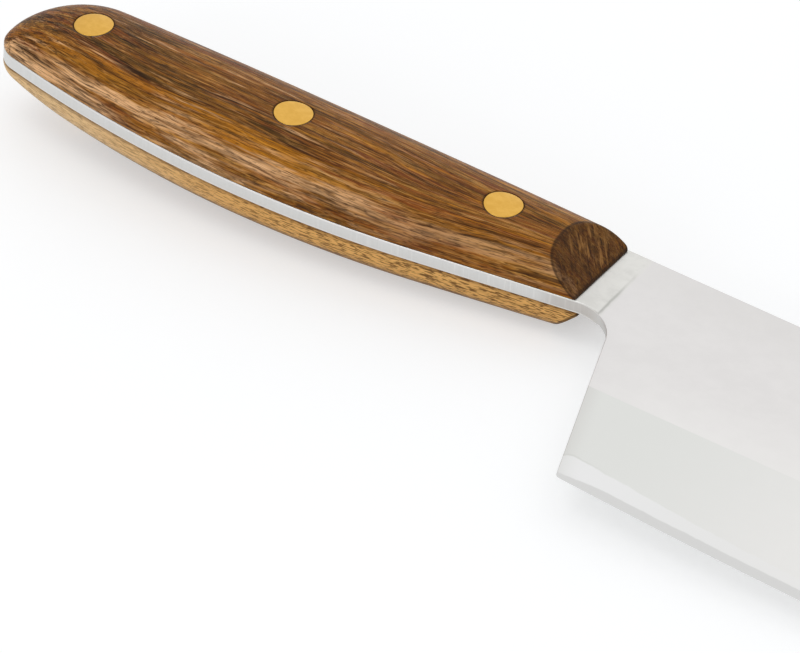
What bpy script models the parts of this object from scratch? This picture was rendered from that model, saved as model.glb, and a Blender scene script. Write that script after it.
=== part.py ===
"""Usuba, a Japanese vegetable knife with a full tang and a riveted wooden handle.

The knife is modelled in its own coordinates, in metres: X runs from the handle's front
end to the blade's front end, Y from the cutting edge up to the spine, which is the line
Y = 0, and Z through the thickness, with Z = 0 in the middle of the steel. The right side
of the knife, held with its tip forward, is +Z. All pieces hang on one empty, which lays
the knife down on its left side as it lies on a table: on the left scale near its front
end and on the front end of the blade.

The steel is one piece. It is cut out as a blank, bored for the rivets and then ground on
both sides, first to its main faces and then to the bevels that run down to the edge.
Each handle scale is a loft of D-shaped sections with a sloping front facet. The rivets
are two-part ones, a half with a pin and a half with a tube, and their heads are ground
flush with the wood.
"""
import math

import bmesh
import bpy
import numpy as np
from mathutils import Matrix, Vector

# Steel blank, seen from the side
BLADE_REACH = 0.170
HANDLE_LENGTH = 0.1133
EDGE_DROP = 0.0582
EDGE_LOWEST_AT = 0.115
EDGE_RADIUS = 1.150
CHOIL_AT = 0.0003
CHOIL_RADIUS = 0.0082
HEEL_SLANT = math.radians(20.0)
HEEL_CORNER_RADIUS = 0.0009
FRONT_SLANT = math.radians(2.0)
FRONT_SPINE_RADIUS = 0.013
FRONT_EDGE_RADIUS = 0.0025

# Thickness of the steel
STOCK_THICKNESS = 0.0025
PLUNGE_DEPTH = 0.00005
FRONT_TAPER = 0.00025
SHINOGI_TAPER = 0.00035
BAND_ANGLE = math.radians(3.1)
BEVEL_THICKNESS = 0.0005
EDGE_THICKNESS = 0.00006

# Where the grinding starts and changes slope
PLUNGE_AT = 0.0041
PLUNGE_LEAN = 0.030
SHINOGI_DROP = 0.0328
BEVEL_HEIGHT = 0.0019
BAND_HEEL_WIDTH = 0.0037
BAND_FRONT_WIDTH = 0.0004

# Handle outline, seen from the side
SWELL_AT = 0.0622
SWELL_DEPTH = 0.0238
BELLY_FRONT_RADIUS = 0.200
BELLY_FRONT_RISE = 0.165
BUTT_DEPTH = 0.0174
BUTT_NOSE_RISE = 0.0032
BUTT_SPINE_ROUNDING = 0.0146
BUTT_BELLY_ROUNDING = 0.0035

# Handle section
SWELL_CROWN = 0.0078
FRONT_CROWN = 0.0062
BUTT_CROWN = 0.0052
BUTT_CROWN_ROUNDING = 0.0153
SPINE_SIDE_FULLNESS = 2.12
FRONT_SPINE_SIDE_FULLNESS = 1.95
BELLY_SIDE_FULLNESS = 2.60
FRONT_BELLY_SIDE_FULLNESS = 2.80
FACET_ANGLE = math.radians(45.0)
LEFT_SCALE_REACH = 0.0008
SCALE_SEAT_GAP = 0.0003

# Rivets
FRONT_RIVET_FROM_FACET = 0.0185
REAR_RIVET_FROM_BUTT = 0.0141
FRONT_RIVET_LIFT = -0.0002
MIDDLE_RIVET_LIFT = 0.0006
REAR_RIVET_LIFT = 0.00025
RIVET_PIN_DIAMETER = 0.0030
RIVET_TUBE_WALL = 0.0006
RIVET_HEAD_LEDGE = 0.0009
RIVET_HEAD_DEPTH = 0.0022
RIVET_BORE_FLOOR = 0.0007
RIVET_GAP = 0.0003

# Densities that decide how the knife lies
STEEL_DENSITY = 7750.0
WOOD_DENSITY = 1100.0
BRASS_DENSITY = 8500.0

# Fineness of the curves
CORNER_STEPS = 8
EDGE_STEPS = 16
HANDLE_STEPS = 26
BUTT_STEPS = 8
SECTION_STEPS = 22
TURNING_STEPS = 40

# How far a cutter reaches past what it cuts, and how far its ridge stands off the steel
CUTTER_MARGIN = 0.006
RIDGE_LIFT = 0.000002


def clear_scene():
    """Remove whatever the file starts with."""
    for item in list(bpy.data.objects):
        bpy.data.objects.remove(item, do_unlink=True)


def make_material(name, color, roughness, metallic):
    """A plain material with the piece's own colour."""
    material = bpy.data.materials.new(name)
    material.use_nodes = True
    shader = material.node_tree.nodes["Principled BSDF"]
    shader.inputs["Base Color"].default_value = (*color, 1.0)
    shader.inputs["Roughness"].default_value = roughness
    shader.inputs["Metallic"].default_value = metallic
    return material


def add_object(name, mesh_data, knife, material=None, density=0.0):
    """Turn a bmesh into an object that hangs on the knife."""
    bmesh.ops.recalc_face_normals(mesh_data, faces=mesh_data.faces)
    mesh = bpy.data.meshes.new(name)
    mesh_data.to_mesh(mesh)
    mesh_data.free()
    item = bpy.data.objects.new(name, mesh)
    bpy.context.scene.collection.objects.link(item)
    item.parent = knife
    if material is not None:
        mesh.materials.append(material)
        item["density"] = density
    return item


def hide_cutter(item):
    """A cutter is drawn as a wire and left out of the model."""
    item.hide_render = True
    item.display_type = "WIRE"
    return item


def boolean(item, tool, operation):
    """Cut an object with another, or keep what both share."""
    modifier = item.modifiers.new(tool.name, "BOOLEAN")
    modifier.operation = operation
    modifier.solver = "EXACT"
    modifier.object = tool


def smooth(item, angle):
    """Shade the round faces smooth and keep the edges that are sharper than the angle."""
    item.data.shade_smooth()
    item.data.set_sharp_from_angle(angle=angle)


def rounded(before, corner, after, radius, steps=CORNER_STEPS):
    """The points of an arc that rounds a corner between two straight sides."""
    corner = Vector(corner)
    towards_before = (Vector(before) - corner).normalized()
    towards_after = (Vector(after) - corner).normalized()
    half_angle = towards_before.angle(towards_after) / 2.0
    middle = (towards_before + towards_after).normalized()
    centre = corner + middle * (radius / math.sin(half_angle))
    start = corner + towards_before * (radius / math.tan(half_angle)) - centre
    end = corner + towards_after * (radius / math.tan(half_angle)) - centre
    turn = start.angle_signed(end)
    points = []
    for step in range(steps + 1):
        arm = start.copy()
        arm.rotate(Matrix.Rotation(-turn * step / steps, 2))
        points.append(centre + arm)
    return points


def edge_line(x):
    """Height of the cutting edge, a shallow arc."""
    return -EDGE_DROP + (x - EDGE_LOWEST_AT) ** 2 / (2.0 * EDGE_RADIUS)


def towards_butt(x):
    """Zero at the swell, and one at the butt."""
    return -(x + SWELL_AT) / (HANDLE_LENGTH - SWELL_AT)


def towards_front(x):
    """Zero from the butt to the swell, and one at the handle's front end."""
    return max(0.0, (x + SWELL_AT) / SWELL_AT)


def belly_line(x):
    """Lower outline of the handle: two bends that meet at the swell, then a straight run."""
    offset = x + SWELL_AT
    if offset < 0.0:
        return -SWELL_DEPTH + (SWELL_DEPTH - BUTT_DEPTH) * towards_butt(x) ** 2
    straight_from = BELLY_FRONT_RADIUS * math.sin(math.atan(BELLY_FRONT_RISE))
    bent = min(offset, straight_from)
    height = -SWELL_DEPTH + BELLY_FRONT_RADIUS - math.sqrt(BELLY_FRONT_RADIUS ** 2 - bent ** 2)
    return height + (offset - bent) * BELLY_FRONT_RISE


def butt_rounding(x, length):
    """Quarter of an ellipse of the given length: zero in front of it, and one at the butt."""
    inside = max(0.0, length - HANDLE_LENGTH - x) / length
    return 1.0 - math.sqrt(max(0.0, 1.0 - inside ** 2))


def handle_top(x):
    """Upper outline of the handle, in line with the spine and rounded down to the butt's nose."""
    nose = -BUTT_DEPTH + BUTT_NOSE_RISE
    return nose * butt_rounding(x, BUTT_SPINE_ROUNDING)


def handle_bottom(x):
    """Lower outline of the handle, rounded up to the butt's nose."""
    return belly_line(x) + BUTT_NOSE_RISE * butt_rounding(x, BUTT_BELLY_ROUNDING)


def crown_height(x):
    """Height of a scale over its seat: highest at the swell and rounded off at the butt."""
    if x < -SWELL_AT:
        crown = SWELL_CROWN + (BUTT_CROWN - SWELL_CROWN) * towards_butt(x) ** 2
    else:
        crown = SWELL_CROWN + (FRONT_CROWN - SWELL_CROWN) * towards_front(x) ** 2
    return crown * (1.0 - butt_rounding(x, BUTT_CROWN_ROUNDING))


def section_fullness(x, on_spine_side):
    """How square a scale's section is on either side of its middle: towards the front it gets
    rounder on the spine's side, and squarer on the belly's."""
    if on_spine_side:
        swell, front = SPINE_SIDE_FULLNESS, FRONT_SPINE_SIDE_FULLNESS
    else:
        swell, front = BELLY_SIDE_FULLNESS, FRONT_BELLY_SIDE_FULLNESS
    return swell + (front - swell) * towards_front(x) ** 2


def handle_stations(front):
    """Places along the handle, close together where the butt is round."""
    rounding = max(BUTT_SPINE_ROUNDING, BUTT_BELLY_ROUNDING, BUTT_CROWN_ROUNDING)
    places = []
    for step in range(1, BUTT_STEPS + 1):
        turn = math.pi / 2.0 * step / BUTT_STEPS
        places.append(-HANDLE_LENGTH + rounding * (1.0 - math.cos(turn)))
    run = front - places[-1]
    for step in range(1, HANDLE_STEPS + 1):
        places.append(places[-1] + run / HANDLE_STEPS)
    return places


def choil_corner():
    """Where the belly's straight run and the heel would meet if the choil were sharp."""
    turn = math.pi / 2.0 - HEEL_SLANT + math.atan(BELLY_FRONT_RISE)
    forward = Vector((1.0, BELLY_FRONT_RISE)).normalized()
    start = Vector((CHOIL_AT, belly_line(CHOIL_AT)))
    return start + forward * CHOIL_RADIUS * math.tan(turn / 2.0)


def heel_corner():
    """Where the heel comes down on the cutting edge."""
    choil = choil_corner()
    x = choil.x
    for _ in range(6):
        x = choil.x + (choil.y - edge_line(x)) * math.tan(HEEL_SLANT)
    return Vector((x, edge_line(x)))


def blank_outline():
    """Outline of the steel, from the butt along the spine and back along the edge."""
    front_top = Vector((BLADE_REACH, 0.0))
    front_foot_x = BLADE_REACH - EDGE_DROP * math.tan(FRONT_SLANT)
    front_foot = Vector((front_foot_x, edge_line(front_foot_x)))
    heel = heel_corner()
    choil = choil_corner()
    belly_start = Vector((CHOIL_AT, belly_line(CHOIL_AT)))

    stations = handle_stations(0.0)
    points = [Vector((x, handle_top(x))) for x in stations]
    points += rounded(points[-1], front_top, front_foot, FRONT_SPINE_RADIUS)
    points += rounded(front_top, front_foot, heel, FRONT_EDGE_RADIUS)
    edge_front = front_foot.x - FRONT_EDGE_RADIUS
    edge_rear = heel.x + HEEL_CORNER_RADIUS
    for step in range(1, EDGE_STEPS):
        x = edge_front + (edge_rear - edge_front) * step / EDGE_STEPS
        points.append(Vector((x, edge_line(x))))
    points += rounded(points[-1], heel, choil, HEEL_CORNER_RADIUS)
    points += rounded(heel, choil, belly_start, CHOIL_RADIUS)
    points += [Vector((x, handle_bottom(x))) for x in reversed(stations)]
    return points


def make_blank(knife, material):
    """The flat steel blank."""
    shape = bmesh.new()
    corners = [shape.verts.new((p.x, p.y, -STOCK_THICKNESS / 2.0)) for p in blank_outline()]
    face = shape.faces.new(corners)
    side = bmesh.ops.extrude_face_region(shape, geom=[face])
    moved = [item for item in side["geom"] if isinstance(item, bmesh.types.BMVert)]
    bmesh.ops.translate(shape, verts=moved, vec=(0.0, 0.0, STOCK_THICKNESS))
    return add_object("blade_and_tang", shape, knife, material, STEEL_DENSITY)


def loft(rings):
    """Join closed rings of points one after another and close both ends."""
    shape = bmesh.new()
    loops = []
    for ring in rings:
        corners = [shape.verts.new(point) for point in ring]
        count = len(corners)
        loops.append([shape.edges.new((corners[i], corners[(i + 1) % count])) for i in range(count)])
    for near, far in zip(loops, loops[1:]):
        bmesh.ops.bridge_loops(shape, edges=near + far)
    bmesh.ops.edgeloop_fill(shape, edges=loops[0])
    bmesh.ops.edgeloop_fill(shape, edges=loops[-1])
    return shape


def main_face_height(x, y):
    """Half the thickness of the steel on its main face, a plane on each side."""
    along = (x - PLUNGE_AT) / (BLADE_REACH - PLUNGE_AT)
    down = -y / SHINOGI_DROP
    return STOCK_THICKNESS / 2.0 - PLUNGE_DEPTH - FRONT_TAPER * along - SHINOGI_TAPER * down


def make_main_face_cutter(side, knife):
    """The wedge of steel that grinding the main face takes away."""
    top = CUTTER_MARGIN
    front = BLADE_REACH + CUTTER_MARGIN
    low = -EDGE_DROP - CUTTER_MARGIN
    rings = []
    for y in (CUTTER_MARGIN, low):
        plunge = PLUNGE_AT - PLUNGE_LEAN * y
        floor_rear = (plunge, y, side * main_face_height(plunge, y))
        floor_front = (front, y, side * main_face_height(front, y))
        roof_front = (front, y, side * top)
        roof_rear = (plunge - top / 2.0, y, side * top)
        rings.append([floor_rear, floor_front, roof_front, roof_rear])
    cutter = add_object(f"main_face_cutter_{'right' if side > 0 else 'left'}", loft(rings), knife)
    return hide_cutter(cutter)


def bevel_section(x, heel_x, side):
    """Section of the steel that the lower grinding takes away, across the blade at x."""
    towards_heel = (BLADE_REACH - x) / (BLADE_REACH - heel_x)
    edge = edge_line(x)
    width = BAND_FRONT_WIDTH + (BAND_HEEL_WIDTH - BAND_FRONT_WIDTH) * towards_heel ** 2
    band = edge + BEVEL_HEIGHT + width
    band_half = BEVEL_THICKNESS / 2.0 + width * math.tan(BAND_ANGLE)
    ridge_half = main_face_height(x, -SHINOGI_DROP) + RIDGE_LIFT
    slope = (ridge_half - band_half) / (-SHINOGI_DROP - band)
    bevel_slope = (BEVEL_THICKNESS - EDGE_THICKNESS) / 2.0 / BEVEL_HEIGHT
    run_in = -SHINOGI_DROP + CUTTER_MARGIN
    run_out = edge - CUTTER_MARGIN
    section = [
        (x, run_in, ridge_half + slope * CUTTER_MARGIN),
        (x, -SHINOGI_DROP, ridge_half),
        (x, band, band_half),
        (x, edge + BEVEL_HEIGHT, BEVEL_THICKNESS / 2.0),
        (x, run_out, EDGE_THICKNESS / 2.0 - bevel_slope * CUTTER_MARGIN),
        (x, run_out, CUTTER_MARGIN),
        (x, run_in, CUTTER_MARGIN),
    ]
    return [(px, py, side * pz) for px, py, pz in section]


def make_bevel_cutter(side, knife):
    """The steel that grinding the lower bevels takes away."""
    heel_x = heel_corner().x
    rear = choil_corner().x
    front = BLADE_REACH + CUTTER_MARGIN
    rings = []
    for step in range(EDGE_STEPS + 1):
        x = rear + (front - rear) * step / EDGE_STEPS
        rings.append(bevel_section(x, heel_x, side))
    cutter = add_object(f"bevel_cutter_{'right' if side > 0 else 'left'}", loft(rings), knife)
    return hide_cutter(cutter)


def scale_section(x, seat, side):
    """D-shaped section of a scale: flat on its seat, rounder towards the spine."""
    top = handle_top(x)
    bottom = handle_bottom(x)
    middle = (top + bottom) / 2.0
    half_width = (top - bottom) / 2.0
    crown = crown_height(x)
    base = STOCK_THICKNESS / 2.0 + SCALE_SEAT_GAP
    ring = []
    for step in range(SECTION_STEPS + 1):
        turn = math.pi * step / SECTION_STEPS
        fullness = section_fullness(x, turn < math.pi / 2.0)
        across = math.copysign(abs(math.cos(turn)) ** (2.0 / fullness), math.cos(turn))
        rise = abs(math.sin(turn)) ** (2.0 / fullness) if 0 < step < SECTION_STEPS else 0.0
        ring.append((x, middle + half_width * across, side * (base + crown * rise)))
    if seat < base:
        ring.insert(0, (x, ring[0][1], side * seat))
        ring.append((x, ring[-1][1], side * seat))
    return ring


def cut_front_facet(shape, side):
    """Cut the sloping facet at the front end of a scale; the left one reaches further."""
    reach = LEFT_SCALE_REACH if side < 0.0 else 0.0
    base = Vector((reach, 0.0, side * (STOCK_THICKNESS / 2.0 + SCALE_SEAT_GAP)))
    normal = Vector((math.cos(FACET_ANGLE), 0.0, side * math.sin(FACET_ANGLE)))
    everything = list(shape.verts) + list(shape.edges) + list(shape.faces)
    cut = bmesh.ops.bisect_plane(shape, geom=everything, plane_co=base, plane_no=normal,
                                 clear_outer=True, dist=1e-7)
    rim = [item for item in cut["geom_cut"] if isinstance(item, bmesh.types.BMEdge)]
    bmesh.ops.edgeloop_fill(shape, edges=rim)


def make_scale(name, side, knife, material):
    """One handle scale before it is bored."""
    base = STOCK_THICKNESS / 2.0 + SCALE_SEAT_GAP
    rings = [scale_section(x, base, side) for x in handle_stations(CUTTER_MARGIN)]
    shape = loft(rings)
    cut_front_facet(shape, side)
    return add_object(name, shape, knife, material, WOOD_DENSITY)


def make_finish_form(side, knife):
    """The handle's finished outside, to which the rivet heads are ground."""
    seat = -SWELL_CROWN - STOCK_THICKNESS
    rings = [scale_section(x, seat, side) for x in handle_stations(CUTTER_MARGIN)]
    form = add_object(f"finish_form_{'right' if side > 0 else 'left'}", loft(rings), knife)
    return hide_cutter(form)


def turned(profile, steps=TURNING_STEPS):
    """Spin a profile of (radius, height) points, from axis to axis, about Z."""
    shape = bmesh.new()
    points = [shape.verts.new((radius, 0.0, height)) for radius, height in profile]
    edges = [shape.edges.new(pair) for pair in zip(points, points[1:])]
    bmesh.ops.spin(shape, geom=points + edges, cent=(0.0, 0.0, 0.0), axis=(0.0, 0.0, 1.0),
                   dvec=(0.0, 0.0, 0.0), angle=math.tau, steps=steps, use_merge=True)
    bmesh.ops.remove_doubles(shape, verts=shape.verts, dist=1e-7)
    return shape


def rivet_places():
    """Where the rivets stand: the outer two by their distances, the middle one halfway, and
    each with its lift over the handle's middle."""
    front = -FRONT_RIVET_FROM_FACET
    rear = REAR_RIVET_FROM_BUTT - HANDLE_LENGTH
    stations = {"front": (front, FRONT_RIVET_LIFT),
                "middle": ((front + rear) / 2.0, MIDDLE_RIVET_LIFT),
                "rear": (rear, REAR_RIVET_LIFT)}
    return {place: (x, (handle_top(x) + handle_bottom(x)) / 2.0 + lift)
            for place, (x, lift) in stations.items()}


def head_seat_height():
    """Height of the rivet heads' seats over the middle of the steel."""
    lowest_crown = min(crown_height(x) for x, y in rivet_places().values())
    return STOCK_THICKNESS / 2.0 + SCALE_SEAT_GAP + lowest_crown - RIVET_HEAD_DEPTH


def rivet_radii():
    """Radii of a rivet's pin, of the tube's bore, of its shank and of the heads."""
    pin = RIVET_PIN_DIAMETER / 2.0
    bore = pin + RIVET_GAP
    shank = bore + RIVET_TUBE_WALL
    head = shank + RIVET_HEAD_LEDGE
    return pin, bore, shank, head


def above_handle():
    """A height over the middle of the steel that no scale reaches."""
    return STOCK_THICKNESS / 2.0 + SWELL_CROWN + CUTTER_MARGIN


def rivet_hole_profile():
    """Stepped hole through both scales and the tang, from the left side to the right."""
    pin, bore, shank, head = rivet_radii()
    seat = head_seat_height() - RIVET_GAP
    outside = above_handle()
    wide = head + RIVET_GAP
    narrow = shank + RIVET_GAP
    return [(0.0, -outside), (wide, -outside), (wide, -seat), (narrow, -seat),
            (narrow, seat), (wide, seat), (wide, outside), (0.0, outside)]


def pin_half_profile():
    """The rivet half with the pin, its head up and its pin pointing down."""
    pin, bore, shank, head = rivet_radii()
    seat = head_seat_height()
    pin_end = -seat + RIVET_BORE_FLOOR + RIVET_GAP
    outside = above_handle()
    return [(0.0, pin_end), (pin, pin_end), (pin, seat), (head, seat), (head, outside),
            (0.0, outside)]


def tube_half_profile():
    """The rivet half with the tube, its head down and its tube pointing up."""
    pin, bore, shank, head = rivet_radii()
    seat = head_seat_height()
    bore_end = -seat + RIVET_BORE_FLOOR
    tube_end = seat - RIVET_GAP
    outside = above_handle()
    return [(0.0, -outside), (head, -outside), (head, -seat), (shank, -seat),
            (shank, tube_end), (bore, tube_end), (bore, bore_end), (0.0, bore_end)]


def make_rivets(knife, material, bored):
    """Bore each rivet hole through the pieces, and fill it with the rivet's two halves."""
    finish = {side: make_finish_form(side, knife) for side in (1.0, -1.0)}
    for place, (x, y) in rivet_places().items():
        hole = hide_cutter(add_object(f"rivet_hole_{place}", turned(rivet_hole_profile()), knife))
        hole.location = (x, y, 0.0)
        for item in bored:
            boolean(item, hole, "DIFFERENCE")
        halves = (("pin", pin_half_profile(), 1.0), ("tube", tube_half_profile(), -1.0))
        for kind, profile, side in halves:
            name = f"rivet_{place}_{kind}_half"
            half = add_object(name, turned(profile), knife, material, BRASS_DENSITY)
            half.location = (x, y, 0.0)
            boolean(half, finish[side], "INTERSECT")
            smooth(half, math.radians(40.0))


def solid_pieces():
    """The pieces of the knife, without its cutters."""
    return [item for item in bpy.context.scene.objects if "density" in item]


def evaluated_points(item):
    """Corners of an object and of its triangles, in the world, with its modifiers applied."""
    graph = bpy.context.evaluated_depsgraph_get()
    final = item.evaluated_get(graph)
    mesh = final.to_mesh()
    mesh.calc_loop_triangles()
    points = np.array([item.matrix_world @ vertex.co for vertex in mesh.vertices])
    triangles = np.array([triangle.vertices[:] for triangle in mesh.loop_triangles])
    final.to_mesh_clear()
    return points, triangles


def mass_centre(pieces):
    """Centre of mass, from the tetrahedra between the origin and each triangle."""
    total = 0.0
    moment = np.zeros(3)
    for item in pieces:
        points, triangles = evaluated_points(item)
        a, b, c = (points[triangles[:, k]] for k in range(3))
        volumes = np.einsum("ij,ij->i", a, np.cross(b, c)) / 6.0
        total += item["density"] * volumes.sum()
        moment += item["density"] * (volumes[:, None] * (a + b + c) / 4.0).sum(axis=0)
    return Vector(moment / total)


def resting_normal(pieces):
    """Outward normal of the face of the convex hull on which the knife lies on its left side."""
    hull = bmesh.new()
    for item in pieces:
        for point in evaluated_points(item)[0]:
            hull.verts.new(point)
    found = bmesh.ops.convex_hull(hull, input=hull.verts)
    centre = mass_centre(pieces)
    best = None
    for face in [item for item in found["geom"] if isinstance(item, bmesh.types.BMFace)]:
        face.normal_update()
        foot = centre - face.normal * (centre - face.verts[0].co).dot(face.normal)
        corners = [vertex.co for vertex in face.verts]
        sides = zip(corners, corners[1:] + corners[:1])
        turns = [(b - a).cross(foot - a).dot(face.normal) for a, b in sides]
        stands = all(turn >= 0.0 for turn in turns)
        if stands and (best is None or face.normal.z < best.z):
            best = face.normal.copy()
    hull.free()
    return best


def lie_down(knife):
    """Lay the knife on its left side, centred over the origin and standing on Z = 0."""
    bpy.context.view_layer.update()
    pieces = solid_pieces()
    tilt = resting_normal(pieces).rotation_difference(Vector((0.0, 0.0, -1.0)))
    knife.matrix_world = tilt.to_matrix().to_4x4()
    bpy.context.view_layer.update()
    points = np.concatenate([evaluated_points(item)[0] for item in pieces])
    low, high = points.min(axis=0), points.max(axis=0)
    shift = Vector((-(low[0] + high[0]) / 2.0, -(low[1] + high[1]) / 2.0, -low[2]))
    knife.matrix_world = Matrix.Translation(shift) @ knife.matrix_world
    bpy.context.view_layer.update()


def main():
    """Build the knife."""
    clear_scene()
    steel = make_material("satin_steel", (0.62, 0.63, 0.65), 0.32, 1.0)
    wood = make_material("ironwood", (0.16, 0.055, 0.022), 0.35, 0.0)
    brass = make_material("brass", (0.75, 0.48, 0.14), 0.30, 1.0)
    knife = bpy.data.objects.new("knife", None)
    bpy.context.scene.collection.objects.link(knife)

    blade = make_blank(knife, steel)
    right_scale = make_scale("scale_right", 1.0, knife, wood)
    left_scale = make_scale("scale_left", -1.0, knife, wood)
    make_rivets(knife, brass, (blade, right_scale, left_scale))
    for side in (1.0, -1.0):
        boolean(blade, make_main_face_cutter(side, knife), "DIFFERENCE")
        boolean(blade, make_bevel_cutter(side, knife), "DIFFERENCE")
    smooth(right_scale, math.radians(30.0))
    smooth(left_scale, math.radians(30.0))
    smooth(blade, math.radians(15.0))
    lie_down(knife)


main()
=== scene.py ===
"""Usuba knife, dressed for looks.

Every shape is worked out in the knife's own coordinates, in millimetres: X runs from the
handle's front end to the blade's front end, Y from the cutting edge up to the spine, and
Z through the thickness, with the right side of the knife at +Z. The finished mesh is then
laid down on the floor as the model lies.
"""
import math

import bmesh
import bpy
import numpy as np
from mathutils import Matrix, Vector


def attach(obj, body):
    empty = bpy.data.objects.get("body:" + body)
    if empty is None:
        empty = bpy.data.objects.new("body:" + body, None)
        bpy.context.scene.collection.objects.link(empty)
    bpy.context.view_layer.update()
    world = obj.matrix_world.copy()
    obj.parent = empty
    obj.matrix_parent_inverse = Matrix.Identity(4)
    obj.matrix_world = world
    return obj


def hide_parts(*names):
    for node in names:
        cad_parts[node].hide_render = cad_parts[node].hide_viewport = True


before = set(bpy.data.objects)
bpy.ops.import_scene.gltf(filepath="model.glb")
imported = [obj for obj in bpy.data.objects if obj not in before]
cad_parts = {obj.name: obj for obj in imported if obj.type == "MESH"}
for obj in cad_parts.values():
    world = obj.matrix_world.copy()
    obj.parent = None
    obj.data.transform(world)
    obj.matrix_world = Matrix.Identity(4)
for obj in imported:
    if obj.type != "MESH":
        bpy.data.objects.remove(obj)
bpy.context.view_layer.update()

# How the knife lies: its direction that points down, and its origin's place in millimetres
RESTING_DOWN = Vector((0.040403981, -0.016612660, -0.999045312))
RESTING_PLACE = Vector((-28.193668, 29.040834, 7.969626))
METRES = 0.001

# Steel, seen from the side
BLADE_REACH = 170.0
HANDLE_LENGTH = 113.3
EDGE_DROP = 58.2
EDGE_LOWEST_AT = 115.0
EDGE_RADIUS = 1150.0
CHOIL_AT = 0.3
CHOIL_RADIUS = 8.2
HEEL_SLANT = math.radians(20.0)
HEEL_CORNER_RADIUS = 0.9
FRONT_SLANT = math.radians(2.0)
FRONT_SPINE_RADIUS = 13.0
FRONT_EDGE_RADIUS = 2.5

# Thickness of the steel, and its eased rim: a radius, at most a share of half the thickness
STOCK_THICKNESS = 2.5
PLUNGE_DEPTH = 0.05
FRONT_TAPER = 0.25
SHINOGI_TAPER = 0.35
BAND_ANGLE = math.radians(3.1)
BEVEL_THICKNESS = 0.5
EDGE_THICKNESS = 0.06
EASED_EDGE = 0.12
EASED_EDGE_LIMIT = 0.45

# Where the grinding starts and changes slope, and the shares that the plunge and the band lose
PLUNGE_AT = 4.1
PLUNGE_LEAN = 0.030
PLUNGE_WIDTH = 0.45
PLUNGE_FADE = 0.8
PLUNGE_FADE_FROM = 1.5
PLUNGE_FADE_TO = 7.0
SHINOGI_DROP = 32.8
BEVEL_HEIGHT = 1.9
BAND_HEEL_WIDTH = 3.7
BAND_FRONT_WIDTH = 0.4
BAND_ROUNDING = 3.4
BAND_CLOSING = 0.75
EDGE_HEEL_SLOPE = -0.08

# Handle, seen from the side and in section
SWELL_AT = 62.2
SWELL_DEPTH = 23.8
BELLY_FRONT_RADIUS = 200.0
BELLY_FRONT_RISE = 0.165
BUTT_DEPTH = 17.4
BUTT_NOSE_RISE = 3.2
BUTT_SPINE_ROUNDING = 14.6
BUTT_BELLY_ROUNDING = 3.5
SWELL_CROWN = 7.8
FRONT_CROWN = 6.2
BUTT_CROWN = 5.2
BUTT_CROWN_ROUNDING = 15.3
SPINE_SIDE_FULLNESS = 2.12
FRONT_SPINE_SIDE_FULLNESS = 1.95
BELLY_SIDE_FULLNESS = 2.6
FRONT_BELLY_SIDE_FULLNESS = 2.8
LEFT_SCALE_REACH = 0.8

# Scales: seat and base are heights over the steel's middle, and the upright lip joins them
SCALE_BASE = 1.55
SCALE_SEAT = 1.29
SCALE_LIP = 0.16
SCALE_LIP_ROWS = (0.0, 0.15, 0.35, 0.6)
SCALE_LIP_POWER = 8
SCALE_LIP_FADE = 4.0

# Front facet of a scale: the drop of its upper corner is a share of the corner's radius
FACET_FOOT_RADIUS = 0.8
FACET_FOOT_AT = -0.05
FACET_EASING = 0.45
FACET_EASING_LIMIT = 0.35
FACET_CORNER_RADIUS = 0.8
FACET_CORNER_DROP = 0.8

# Rivets: the gap is left between the two halves, and the fit round each of them
RIVET_PLACES = (-18.5, -58.85, -99.2)
RIVET_LIFTS = (-0.2, 0.6, 0.25)
RIVET_PIN_RADIUS = 1.5
RIVET_BORE_RADIUS = 1.53
RIVET_SHANK_RADIUS = 2.4
RIVET_HEAD_RADIUS = 3.3
RIVET_HEAD_DEPTH = 2.2
RIVET_BORE_FLOOR = 0.7
RIVET_RIM = 0.1
RIVET_FIT = 0.11
RIVET_GAP = 0.3
HOLE_REACH = 8.0

# Steps along the outline of the steel, and rounds of guessing where two lines meet
BUTT_SPINE_STEPS = 60
FRONT_SPINE_STEPS = 24
BUTT_BELLY_STEPS = 40
BELLY_STEPS = 300
CHOIL_STEPS = 60
EDGE_STEPS = 200
CORNER_STEPS = 16
HEEL_ROUNDS = 6
FACET_ROUNDS = 12
TINY = 1e-6

# Columns of the steel: over the rounded butt, to the end of each stretch, and round the front
STEEL_BUTT = 15.0
STEEL_BUTT_COLUMNS = 28
STEEL_STRETCHES = ((0.0, 84), (3.9, 16), (5.6, 20), (27.0, 130), (150.0, 84))
STEEL_FRONT_COLUMNS = 64

# Columns of a scale: over its butt, straight on, bending to the facet, over its rim and down it
SCALE_BUTT = 15.6
SCALE_BUTT_COLUMNS = 30
SCALE_COLUMNS = 110
FACET_BEND_FROM = -14.0
FACET_BEND_COLUMNS = 40
FACET_RIM_COLUMNS = 6
FACET_COLUMNS = 30
FACET_CROWDING = 1.3

# Rows across the zones of the steel's face, round its eased rim and across a scale
FACE_ROWS = (16, 10, 5, 4)
EASED_ROWS = 4
SCALE_ROWS = 76
SCALE_CROWDING = 0.42

# Steps round a turned form, across a rivet's head and over the head's rim
TURNING_STEPS = 96
HEAD_STEPS = 10
HEAD_RIM_STEPS = 4

# The turn in degrees from which an edge is sharp
STEEL_CREASE = 30.0
HOLE_CREASE = 40.0
RIVET_CREASE = 50.0
WOOD_CREASE = 60.0

# Lengths under which points are merged and slivers dissolved
MERGE_DISTANCE = 1e-5
SLIVER_LENGTH = 1e-6

# Each scale's side, its noise's start, how much lighter its wood is, and its further reach
SCALES = (("right", 1.0, 2.0, 0.0, 0.0), ("left", -1.0, 9.0, 0.42, LEFT_SCALE_REACH))

# The wood's tones from dark to light, as they look on the screen
WOOD_TONES = ((0.08, (40, 22, 3)), (0.32, (84, 46, 8)), (0.50, (124, 72, 14)),
              (0.68, (154, 98, 30)), (0.92, (204, 148, 74)))

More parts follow.
